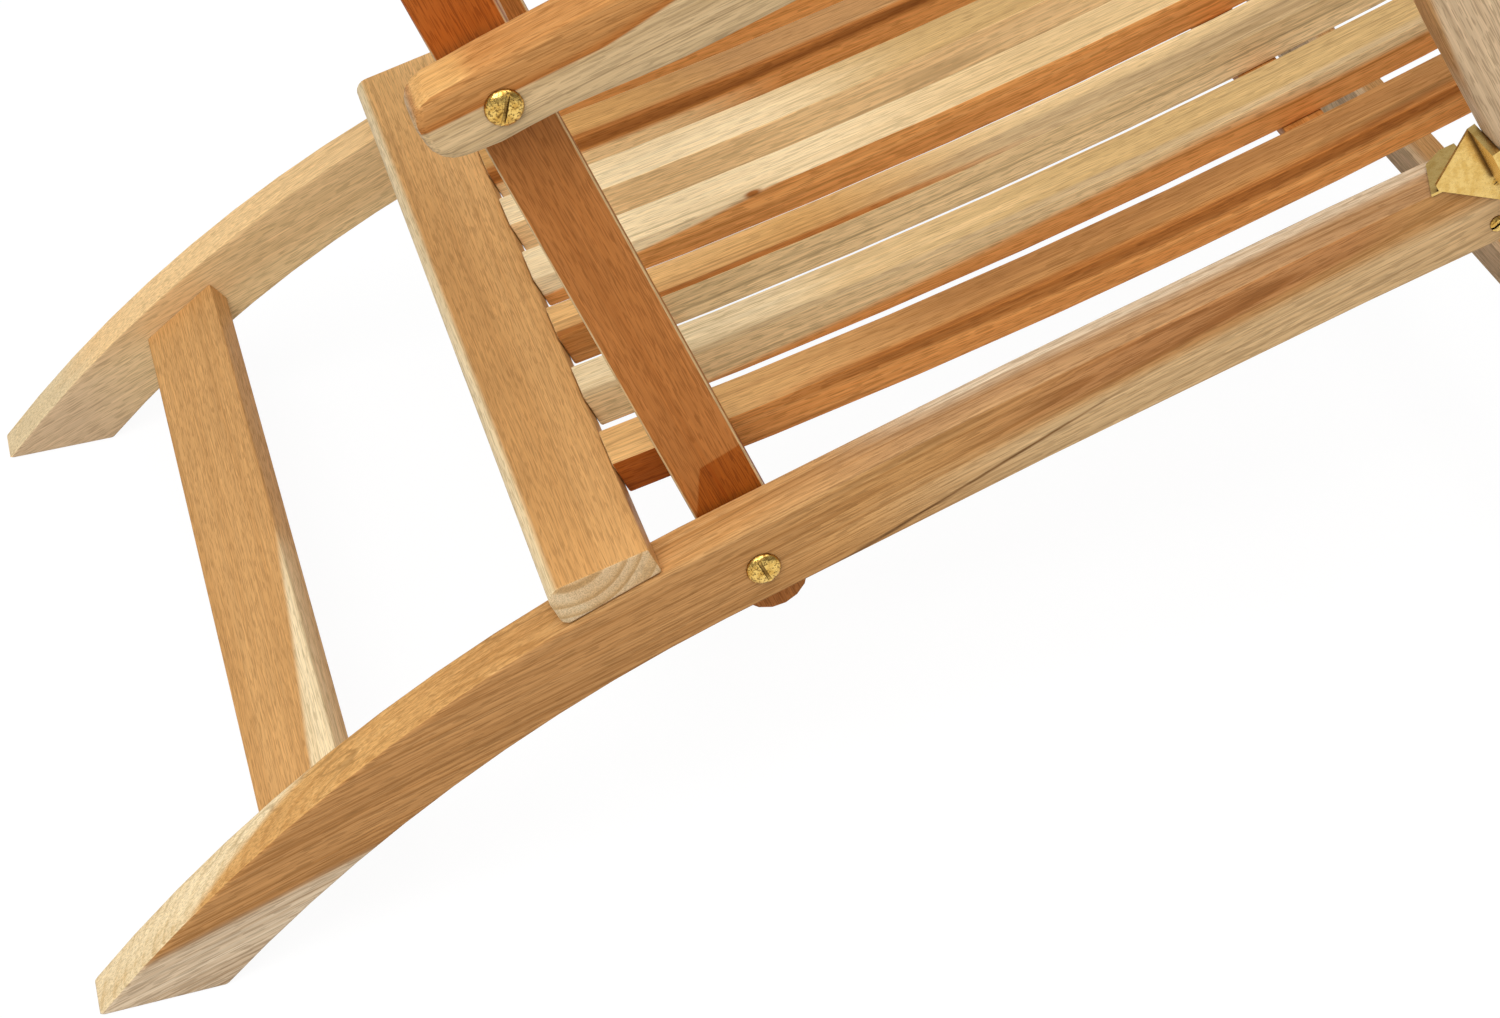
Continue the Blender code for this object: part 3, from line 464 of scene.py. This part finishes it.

# Seat slats, from the right. Each has its own wood, with zones of other wood on its top
# and its right side. The right sides are painted lighter against the shade between slats,
# the pale strips along the far arrises are painted highlights, and the pale rear ends of
# slats 4 and 5 are painted light against the arm's shadow.

# A thin pale strip along the far arris of a slat's top, a painted highlight
FAR_EDGE_HIGHLIGHT = (TO_LEFT, 0.0146, 0.0006, 0.0)
NEAR_EDGE = (TO_RIGHT, 0.0105, 0.004, 0.002)
UPPER_SIDE = (TO_TOP, 0.002, 0.005, 0.002)
LOWER_SIDE = (TO_UNDER, 0.001, 0.004, 0.002)
# The slats' right sides: their own woods, painted lighter to offset the shade between slats
SIDE_PAINTED_LIGHTER = FACES_RIGHT
KNOTTED_SLAT = 4
KNOT = (-0.147, -SLAT_HALF_WIDTH, 0.0095)


def towards_back(offset, softness):
    return TO_START, offset, softness, 0.02


slat_looks = [
    (CARAMEL, [(PEACH, [towards_back(0.16, 0.18)]),
               (CHESTNUT, [SIDE_PAINTED_LIGHTER]),
               (UMBER, [NEAR_EDGE, UPPER_SIDE, (TO_END, -0.17, 0.10, 0.02)]),
               (EMBER, [SIDE_PAINTED_LIGHTER, towards_back(0.235, 0.04)])]),
    (YELLOW, [(IVORY, [towards_back(0.06, 0.20)]),
              (CREAM, [towards_back(0.15, 0.06)]),
              (SMOKE, [(TO_RIGHT, 0.010, 0.004, 0.004)]),
              (CHESTNUT, [SIDE_PAINTED_LIGHTER]),
              (SLATE, [SIDE_PAINTED_LIGHTER, ((-0.045, 0.0, 1.0), 0.001, 0.005, 0.003)]),
              (SLATE, [SIDE_PAINTED_LIGHTER, UPPER_SIDE, (TO_END, 0.12, 0.10, 0.02)])]),
    (SMOKE, [(IVORY, [(TO_LEFT, 0.004, 0.010, 0.006)]),
             (AMBER, [towards_back(0.07, 0.14)]),
             (PEACH, [towards_back(0.16, 0.08)]),
             (UMBER, [NEAR_EDGE, towards_back(0.03, 0.14)]),
             (SLATE, [SIDE_PAINTED_LIGHTER]),
             (BROWN, [SIDE_PAINTED_LIGHTER, towards_back(0.23, 0.05)]),
             (CREAM, [FAR_EDGE_HIGHLIGHT])]),
    # Slat 4: the pale rear end is painted light against the arm's shadow
    (IVORY, [(MILK_PAINTED_LIGHT, [towards_back(0.05, 0.16)]),
             (CHESTNUT, [SIDE_PAINTED_LIGHTER, ((0.09, 0.0, -1.0), -0.0218, 0.003, 0.002)])]),
    # Slat 5: the pale rear end and the pale right side are painted light against the arm's shadow
    (YELLOW, [(MILK_PAINTED_LIGHT, [towards_back(0.08, 0.14)]),
              (ROSE, [SIDE_PAINTED_LIGHTER])]),
    (SAND, [(AMBER, [towards_back(0.16, 0.10)]),
            (CHESTNUT, [SIDE_PAINTED_LIGHTER]),
            (UMBER, [NEAR_EDGE, UPPER_SIDE]),
            (ROSE, [SIDE_PAINTED_LIGHTER, LOWER_SIDE, towards_back(0.14, 0.10)]),
            (CREAM, [FAR_EDGE_HIGHLIGHT])]),
    (TAN, [(CHESTNUT, [SIDE_PAINTED_LIGHTER]), (CREAM, [FAR_EDGE_HIGHLIGHT])]),
]
for number, (wood, zones) in enumerate(slat_looks, 1):
    piece = "seat_slat_" + str(number)
    along, up = lengthwise(SLAT_SLOPE)
    middle = node_middle(piece) - SLAT_SAG * Vector(up)
    knot = KNOT if number == KNOTTED_SLAT else None
    dress(piece, teak("teak_" + piece, middle, (along, up), wood, 10.0 + number, zones, SLAT_RADIUS,
          knot, tone=-0.1, lines=0.65, pith=(0.0, 0.05 - 0.015 * number, -0.07)))

# Backrest: the stiles have a dark oil patch at the foot, redder wood above the arms, and
# painted highlights along the arrises between. In a stile's frame X runs up, Z to the front and Y to
# the chair's right.

STILE_FACE = (TO_LEFT, 0.0108, 0.0012, 0.0)
BELOW_ARM = (TO_START, -0.33, 0.03, 0.0)
stile_patch = [
    ((-1.0, 0.0, 0.08), -0.0508, 0.0014, 0.0004),
    ((-0.5, 0.0, 1.0), -0.0299, 0.0016, 0.0004),
    (TO_END, -0.004, 0.004, 0.0),
]
stile_zones = [
    (OXBLOOD, stile_patch),
    (EMBER, [(TO_END, 0.315, 0.03, 0.0)]),
    # Painted highlights: pale strips along the front and rear arrises of the face that looks to the
    # chair's right, below the arm
    (IVORY, [STILE_FACE, BELOW_ARM, ((0.0035, 0.0, 1.0), 0.0184, 0.0007, 0.0001)]),
    (IVORY, [STILE_FACE, BELOW_ARM, ((0.0035, 0.0, -1.0), 0.0184, 0.0007, 0.0001)]),
]
for side, sign in SIDES:
    dress("back_stile_" + side, teak("teak_stile_" + side, on_side(STILE_MIDDLE, sign),
          upright(BACK_LEAN), RUSSET, 21.0 + sign, stile_zones, contrast=0.7, lines=0.1, pores=0.5))
for number, piece in enumerate(("back_bottom_rail", "back_top_rail")):
    dress(piece, teak("teak_" + piece, node_middle(piece), crosswise(math.pi / 2 + BACK_LEAN),
          HONEY, 24.0 + number))
for number, wood in enumerate((YELLOW, HONEY, IVORY, TAN, YELLOW, SAND, IVORY), 1):
    piece = "back_slat_" + str(number)
    dress(piece, teak("teak_" + piece, node_middle(piece), upright(BACK_LEAN), wood, 30.0 + number,
          [(SMOKE, [(TO_LEFT, 0.004, 0.008, 0.010)])]))

# Arms: orange heartwood above a brown line, and greyer wood below it that widens to the front

for side, sign in SIDES:
    zones = [
        (AMBER, [FACES_UP, (TO_START, 0.008, 0.014, 0.004)]),
        (UMBER, [(TO_UNDER, -0.0075, 0.006, 0.001)]),
        (UMBER, [((0.16, 0.0, -1.0), 0.0005, 0.006, 0.001)]),
        (OLIVE, [(TO_UNDER, -0.0045, 0.0016, 0.0007)]),
        (OLIVE, [((0.16, 0.0, -1.0), 0.0035, 0.0016, 0.0007)]),
    ]
    dress("arm_" + side, teak("teak_arm_" + side, on_side(ARM_MIDDLE, sign),
          lengthwise(ARM_SLOPE), ORANGE, 41.0 + sign, zones, lines=0.75, contrast=1.25,
          pith=(0.0, 0.03 * sign, -0.10)))

# Front legs and their stretcher

for side, sign in SIDES:
    zones = [(SAND, [((0.0747, 0.0, -1.0), 0.0254, 0.003, 0.001)])]
    dress("front_leg_" + side, teak("teak_leg_" + side, on_side(LEG_MIDDLE, sign),
          upright(LEG_LEAN), ASH, 45.0 + sign, zones, lines=0.3, pores=0.55))
dress("front_stretcher", teak("teak_front_stretcher", node_middle("front_stretcher"),
      crosswise(-LEG_LEAN), ASH, 48.0, [(TAN, [(TO_TOP, 0.006, 0.006, 0.004)])]))


# Brass: polished once, now with handling marks, pits and brown spots, and painted shade darkening its
# slots, crevices and the rims beside other parts

def make_brass(name, wear, pale, body):
    material = bpy.data.materials.new(name)
    material.use_nodes = True
    tree = material.node_tree
    shader = tree.nodes["Principled BSDF"]
    place = add_node(tree, "ShaderNodeTexCoord").outputs["Object"]
    cloud = cloudy(tree, place, (260.0, 260.0, 260.0), 3.0)[0]
    grit = cloudy(tree, place, (900.0, 900.0, 900.0), 3.0, 0.7)[0]
    scratch = cloudy(tree, place, (160.0, 900.0, 2600.0), 2.0)[0]
    colour = blend_colours(tree, rise(tree, cloud, 0.35, 0.68), (*pale, 1.0), (*body, 1.0))
    spots = calc(tree, "MULTIPLY", rise(tree, grit, 0.49, 0.60), wear)
    # Painted shade: ambient occlusion darkens slots, crevices and rims beside other parts in the spots'
    # brown
    shelter = add_node(tree, "ShaderNodeAmbientOcclusion", {"Distance": 0.004}, samples=8)
    shelter = shelter.outputs["AO"]
    painted_crevice_shade = calc(tree, "SUBTRACT", 1.0, rise(tree, shelter, 0.62, 0.98))
    brown = calc(tree, "MAXIMUM", calc(tree, "MULTIPLY", spots, 0.75),
                 calc(tree, "MULTIPLY", painted_crevice_shade, 0.9))
    colour = blend_colours(tree, brown, colour, SPOTS_AND_SHADE_BROWN)
    rough = calc(tree, "MULTIPLY_ADD", scratch, 0.22, 0.12)
    rough = calc(tree, "MULTIPLY_ADD", spots, 0.25, rough)
    height = calc(tree, "MULTIPLY_ADD", grit, 0.8, calc(tree, "MULTIPLY", scratch, 0.35))
    bump = add_node(tree, "ShaderNodeBump", {"Strength": 0.4 * wear, "Distance": 0.0004,
                    "Height": height})
    tree.links.new(colour, shader.inputs["Base Color"])
    tree.links.new(rough, shader.inputs["Roughness"])
    tree.links.new(bump.outputs[0], shader.inputs["Normal"])
    shader.inputs["Metallic"].default_value = 1.0
    return material


BRASS = make_brass("worn_brass", 1.0, (0.92, 0.62, 0.18), (0.66, 0.38, 0.08))
PLATE_BRASS = make_brass("plate_brass", 0.15, (0.84, 0.58, 0.20), (0.72, 0.46, 0.13))
BRASS_NODES = ("arm_front", "arm_pivot", "back_pivot", "leg_pivot", "stop_bracket")
for name in nodes:
    if name.startswith(BRASS_NODES):
        dress(name, PLATE_BRASS if name.startswith("stop_bracket") else BRASS)


# Rounded edges and turned brass shade smoothly, and flat faces stay flat

def make_soft_shading():
    group, given, result = new_group("soft_shading", "GeometryNodeTree", [
        ("Geometry", "Geometry", None), ("Sharp Angle", "Float", math.radians(38))],
        [("Geometry", "Geometry")])
    merged = add_node(group, "GeometryNodeMergeByDistance", {"Geometry": given["Geometry"],
                      "Distance": 0.000002}).outputs[0]
    smooth = add_node(group, "GeometryNodeSetShadeSmooth", {"Geometry": merged}).outputs[0]
    angle = add_node(group, "GeometryNodeInputMeshEdgeAngle").outputs["Unsigned Angle"]
    gentle = add_node(group, "FunctionNodeCompare", {0: angle, 1: given["Sharp Angle"]},
                      operation="LESS_THAN").outputs[0]
    made = add_node(group, "GeometryNodeSetShadeSmooth", {"Geometry": smooth, "Shade Smooth": gentle},
                    domain="EDGE").outputs[0]
    group.links.new(made, result["Geometry"])
    return group


SOFT_SHADING = make_soft_shading()
for name, piece in nodes.items():
    if name.startswith("stop_bracket"):
        continue
    shading = piece.modifiers.new("soft shading", "NODES")
    shading.node_group = SOFT_SHADING
    weighted = piece.modifiers.new("flat faces", "WEIGHTED_NORMAL")
    weighted.keep_sharp = True


# Slotted brass screws, in rows

def make_screw_row():
    group, given, result = new_group("screw_row", "GeometryNodeTree", [
        ("Geometry", "Geometry", None), ("Count", "Int", 1), ("First", "Vector", None),
        ("Step", "Vector", None), ("Turn", "Rotation", None), ("Head Radius", "Float", 0.0036),
        ("Head Height", "Float", 0.0009), ("Slot Width", "Float", 0.0009), ("Brass", "Material", None)],
        [("Geometry", "Geometry")])
    half = calc(group, "MULTIPLY", given["Head Height"], 0.5)
    lower = add_node(group, "GeometryNodeMeshCone", {"Vertices": 24, "Side Segments": 1,
                     "Radius Top": given["Head Radius"], "Radius Bottom": given["Head Radius"],
                     "Depth": half}).outputs["Mesh"]
    upper = add_node(group, "GeometryNodeMeshCone", {"Vertices": 24, "Side Segments": 1,
                     "Radius Top": calc(group, "MULTIPLY", given["Head Radius"], 0.62),
                     "Radius Bottom": given["Head Radius"], "Depth": half}).outputs["Mesh"]
    lift = add_node(group, "ShaderNodeCombineXYZ", {2: half}).outputs[0]
    upper = add_node(group, "GeometryNodeTransform",
                     {"Geometry": upper, "Translation": lift}).outputs[0]
    head = add_node(group, "GeometryNodeMeshBoolean", operation="UNION")
    group.links.new(lower, head.inputs[1])
    group.links.new(upper, head.inputs[1])
    slot_size = add_node(group, "ShaderNodeCombineXYZ", {
        0: calc(group, "MULTIPLY", given["Head Radius"], 3.0), 1: given["Slot Width"],
        2: given["Head Height"]}).outputs[0]
    slot = add_node(group, "GeometryNodeMeshCube", {"Size": slot_size}).outputs["Mesh"]
    top = add_node(group, "ShaderNodeCombineXYZ", {2: given["Head Height"]}).outputs[0]
    slot = add_node(group, "GeometryNodeTransform", {"Geometry": slot, "Translation": top}).outputs[0]
    cut = add_node(group, "GeometryNodeMeshBoolean", operation="DIFFERENCE")
    group.links.new(head.outputs[0], cut.inputs[0])
    group.links.new(slot, cut.inputs[1])
    line = add_node(group, "GeometryNodeMeshLine", {"Count": given["Count"],
                    "Start Location": given["First"], "Offset": given["Step"]}).outputs[0]
    index = add_node(group, "GeometryNodeInputIndex").outputs[0]
    spin = add_node(group, "ShaderNodeCombineXYZ",
                    {2: calc(group, "MULTIPLY_ADD", index, 2.4, 0.6)}).outputs[0]
    spin = add_node(group, "FunctionNodeEulerToRotation", {0: spin}).outputs[0]
    spin = add_node(group, "FunctionNodeRotateRotation", {0: spin, 1: given["Turn"]},
                    rotation_space="GLOBAL").outputs[0]
    screws = add_node(group, "GeometryNodeInstanceOnPoints", {
        "Points": line, "Instance": cut.outputs[0], "Rotation": spin}).outputs[0]
    screws = add_node(group, "GeometryNodeRealizeInstances", {"Geometry": screws}).outputs[0]
    screws = add_node(group, "GeometryNodeSetMaterial", {"Geometry": screws,
                      "Material": given["Brass"]}).outputs[0]
    group.links.new(screws, result["Geometry"])
    return group


SCREW_ROW = make_screw_row()
SCREW_INPUTS = {item.name: item.identifier for item in SCREW_ROW.interface.items_tree
                if item.in_out == "INPUT"}


def screw_row(count, first, step, turn, radius, height):
    # A plain mesh of one row of screws
    carrier = bpy.data.objects.new("screw_row", bpy.data.meshes.new("screw_row"))
    bpy.context.scene.collection.objects.link(carrier)
    shape = carrier.modifiers.new("screw row", "NODES")
    shape.node_group = SCREW_ROW
    values = {"Count": count, "First": tuple(first), "Step": tuple(step), "Turn": tuple(turn),
              "Head Radius": radius, "Head Height": height, "Slot Width": radius * 0.3, "Brass": BRASS}
    for label, value in values.items():
        shape[SCREW_INPUTS[label]] = value
    ready = carrier.evaluated_get(bpy.context.evaluated_depsgraph_get())
    made = bpy.data.meshes.new_from_object(ready)
    bpy.data.objects.remove(carrier)
    return made


def under(node, slope, thickness):
    # The middle of a cross piece's underside
    low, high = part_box(node)
    down = Vector((math.sin(slope), 0.0, -math.cos(slope)))
    middle = (low + high) / 2 + down * thickness / 2
    return Vector((middle.x, node_middle("seat_slat_2").y, middle.z))


SLAT_PITCH = node_middle("seat_slat_3").y - node_middle("seat_slat_2").y
NEXT_SLAT = (0.0, SLAT_PITCH, 0.0)
INNER_SLATS = 5
FRONT_BOARD_SLOPE = math.radians(20.2)
FRONT_BOARD_THICKNESS = 0.018
BATTEN_SLOPE = math.radians(18.1)
BATTEN_THICKNESS = 0.011

# Heads as radius and height. Those beside the leg pivots stay below the legs' inner faces.
BOARD_HEAD = (0.0036, 0.0012)
BATTEN_HEAD = (0.0030, 0.0010)
RAIL_HEAD = (0.0045, 0.0016)
BRACKET_HEAD = (0.0030, 0.0011)
RAIL_SCREW = (0.2663, 0.2702, 0.3065)
BRACKET_SCREW = (0.2626, 0.2710, 0.3327)
ALONE = (0.0, 0.0, 0.0)

rows = [
    screw_row(INNER_SLATS, under("front_cross_board", FRONT_BOARD_SLOPE, FRONT_BOARD_THICKNESS),
              NEXT_SLAT, (math.pi, -FRONT_BOARD_SLOPE, 0.0), *BOARD_HEAD),
    screw_row(INNER_SLATS, under("seat_batten", BATTEN_SLOPE, BATTEN_THICKNESS),
              NEXT_SLAT, (math.pi, -BATTEN_SLOPE, 0.0), *BATTEN_HEAD),
]
for side, sign in SIDES:
    outward = (-sign * math.pi / 2, 0.0, 0.0)
    rows.append(screw_row(1, on_side(RAIL_SCREW, sign), ALONE, outward, *RAIL_HEAD))
    rows.append(screw_row(1, on_side(BRACKET_SCREW, sign), ALONE, outward, *BRACKET_HEAD))
points = []
faces = []
for mesh in rows:
    first = len(points)
    points += [tuple(vertex.co) for vertex in mesh.vertices]
    faces += [[first + i for i in face.vertices] for face in mesh.polygons]
screw_mesh = bpy.data.meshes.new("brass_screws")
screw_mesh.from_pydata(points, [], faces)
screw_mesh.materials.append(BRASS)
screws = bpy.data.objects.new("brass_screws", screw_mesh)
bpy.context.scene.collection.objects.link(screws)
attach(screws, "seat_frame")

# Camera: the photograph's viewpoint, with its frame taken as 1500 by 1018 pixels

AZIMUTH = math.radians(17.2824)
ELEVATION = math.radians(37.2196)
ROLL = math.radians(-1.9063)
FOCAL_PIXELS = 3084.74
FRAME_PIXELS = 1500.0
CAMERA_PLACE = (-0.40814, -1.45209, 1.14571)
SENSOR_WIDTH = 36.0
FRAME_SHIFT = -0.12
camera_data = bpy.data.cameras.new("camera")
camera = bpy.data.objects.new("camera", camera_data)
bpy.context.scene.collection.objects.link(camera)
forward = Vector((math.sin(AZIMUTH) * math.cos(ELEVATION), math.cos(AZIMUTH) * math.cos(ELEVATION),
                  -math.sin(ELEVATION)))
level = Vector((math.cos(AZIMUTH), -math.sin(AZIMUTH), 0.0))
upward = level.cross(forward)
right = level * math.cos(ROLL) + upward * math.sin(ROLL)
above = upward * math.cos(ROLL) - level * math.sin(ROLL)
turn = Matrix((right, above, -forward)).transposed().to_4x4()
camera.matrix_world = Matrix.Translation(CAMERA_PLACE) @ turn
camera_data.sensor_width = SENSOR_WIDTH
camera_data.lens = SENSOR_WIDTH * FOCAL_PIXELS / FRAME_PIXELS
camera_data.shift_x = FRAME_SHIFT
camera_data.clip_start = 0.01
bpy.context.scene.camera = camera

# Floor, world and lamps. The soft light is for the wood, and the mirrored light for the brass.

FLOOR_REACH = 14.0
FLOOR_DROP = 0.0006
FLOOR_GREY = 0.55
FLOOR_GLOW = 1.10
GLOW_SHARE = 0.85
SOFT_LIGHT = 0.46
MIRRORED_LOW = 0.15
MIRRORED_RISE = 0.45


# A floor that shows white to the camera and to the brass, and still takes the chair's shadow

def make_floor():
    mesh = bpy.data.meshes.new("floor")
    turns = ((-1, -1), (1, -1), (1, 1), (-1, 1))
    corners = [(x * FLOOR_REACH, y * FLOOR_REACH, 0.0) for x, y in turns]
    mesh.from_pydata(corners, [], [(0, 1, 2, 3)])
    floor = bpy.data.objects.new("floor", mesh)
    bpy.context.scene.collection.objects.link(floor)
    floor.location.z = -FLOOR_DROP
    material = bpy.data.materials.new("white_floor")
    material.use_nodes = True
    tree = material.node_tree
    paint = tree.nodes["Principled BSDF"]
    paint.inputs["Base Color"].default_value = (FLOOR_GREY, FLOOR_GREY, FLOOR_GREY, 1.0)
    paint.inputs["Roughness"].default_value = 0.9
    paint.inputs["Specular IOR Level"].default_value = 0.0
    glow = add_node(tree, "ShaderNodeEmission", {"Color": (1.0, 1.0, 1.0, 1.0),
                    "Strength": FLOOR_GLOW})
    path = add_node(tree, "ShaderNodeLightPath").outputs
    seen = calc(tree, "ADD", path["Is Camera Ray"], path["Is Glossy Ray"])
    seen = calc(tree, "ADD", seen, path["Is Transmission Ray"])
    share = calc(tree, "MULTIPLY", calc(tree, "MINIMUM", seen, 1.0), GLOW_SHARE)
    mixed = add_node(tree, "ShaderNodeMixShader", {0: share, 1: paint.outputs[0], 2: glow.outputs[0]})
    tree.links.new(mixed.outputs[0], tree.nodes["Material Output"].inputs[0])
    mesh.materials.append(material)


# White to the camera, a soft light for the wood, and for the brass a sky that darkens downwards

def make_world():
    world = bpy.data.worlds.new("studio")
    world.use_nodes = True
    bpy.context.scene.world = world
    tree = world.node_tree
    sky = tree.nodes["Background"]
    sky.inputs["Color"].default_value = (1.0, 1.0, 1.0, 1.0)
    path = add_node(tree, "ShaderNodeLightPath").outputs
    direction = add_node(tree, "ShaderNodeTexCoord").outputs["Generated"]
    height = add_node(tree, "ShaderNodeSeparateXYZ", {0: direction}).outputs[2]
    mirrored = calc(tree, "MULTIPLY_ADD", rise(tree, height, 0.1, 0.9), MIRRORED_RISE, MIRRORED_LOW)
    change = calc(tree, "SUBTRACT", mirrored, SOFT_LIGHT)
    level = calc(tree, "MULTIPLY_ADD", path["Is Glossy Ray"], change, SOFT_LIGHT)
    level = calc(tree, "MULTIPLY_ADD", path["Is Camera Ray"], 1.0 - SOFT_LIGHT, level)
    tree.links.new(level, sky.inputs["Strength"])


def lamp(name, place, target, size, power):
    data = bpy.data.lights.new(name, "AREA")
    data.shape = "SQUARE"
    data.size = size
    data.energy = power
    made = bpy.data.objects.new(name, data)
    bpy.context.scene.collection.objects.link(made)
    aim = Vector(target) - Vector(place)
    made.matrix_world = Matrix.Translation(place) @ aim.to_track_quat("-Z", "Y").to_matrix().to_4x4()


make_floor()
make_world()
lamp("key_lamp", place=(-1.3, -2.0, 3.1), target=(0.0, 0.0, 0.25), size=2.8, power=110.0)
lamp("top_lamp", place=(0.8, -0.5, 3.4), target=(0.1, 0.0, 0.25), size=1.6, power=30.0)

bpy.context.scene.view_settings.view_transform = "Standard"
